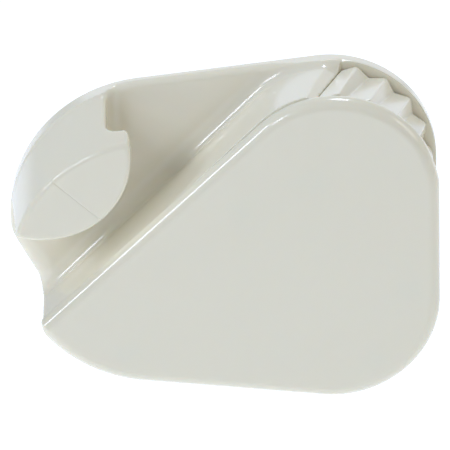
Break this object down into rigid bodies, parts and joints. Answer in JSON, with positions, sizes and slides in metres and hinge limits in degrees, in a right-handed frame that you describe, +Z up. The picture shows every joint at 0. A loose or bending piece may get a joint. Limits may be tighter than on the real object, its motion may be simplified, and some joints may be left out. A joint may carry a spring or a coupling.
{
  "type": "cam cleat",
  "caption": "Side-entry rope cleat of white moulded plastic: a slanting rope channel with a hooked mouth leads up over a sprung, toothed cam between two plates.",
  "frame": {"origin": "centre of the flat back that meets the mast, level with the middle of the hooked end", "axes": "+X along the cleat towards the cam, +Z up across it, +Y out of the back into the mast, so the face with the rope channel's mouth looks along -Y"},
  "size_m": [0.064, 0.015, 0.05],
  "materials": {
    "nylon": "glossy white moulded nylon",
    "bush": "dark acetal bearing bush",
    "stainless": "bright stainless steel",
    "spring_steel": "stainless spring wire",
    "brass": "turned brass"
  },
  "bodies": {
    "housing": {"back_body": "nylon", "front_cheek": "nylon", "cam_pin": "stainless", "washer_front": "stainless", "washer_back": "stainless", "cam_spring": "spring_steel", "stop_pin": "stainless", "screw_1": "stainless", "screw_2": "stainless", "screw_3": "stainless", "screw_4": "stainless", "insert_left": "brass", "insert_right": "brass", "dowel_left": "stainless", "dowel_right": "stainless"},
    "cam": {"cam": "nylon", "cam_bush": "bush"}
  },
  "joints": [
    {"name": "cam_swing", "type": "hinge", "parent": "housing", "child": "cam", "pos_m": [0.01323, -0.0076, 0.0106], "axis": [0, 1, 0], "range_deg": [0, 12], "stiffness_Nm_per_rad": 0.02, "springref_deg": -28.65, "deforming": ["cam_spring"]}
  ]
}
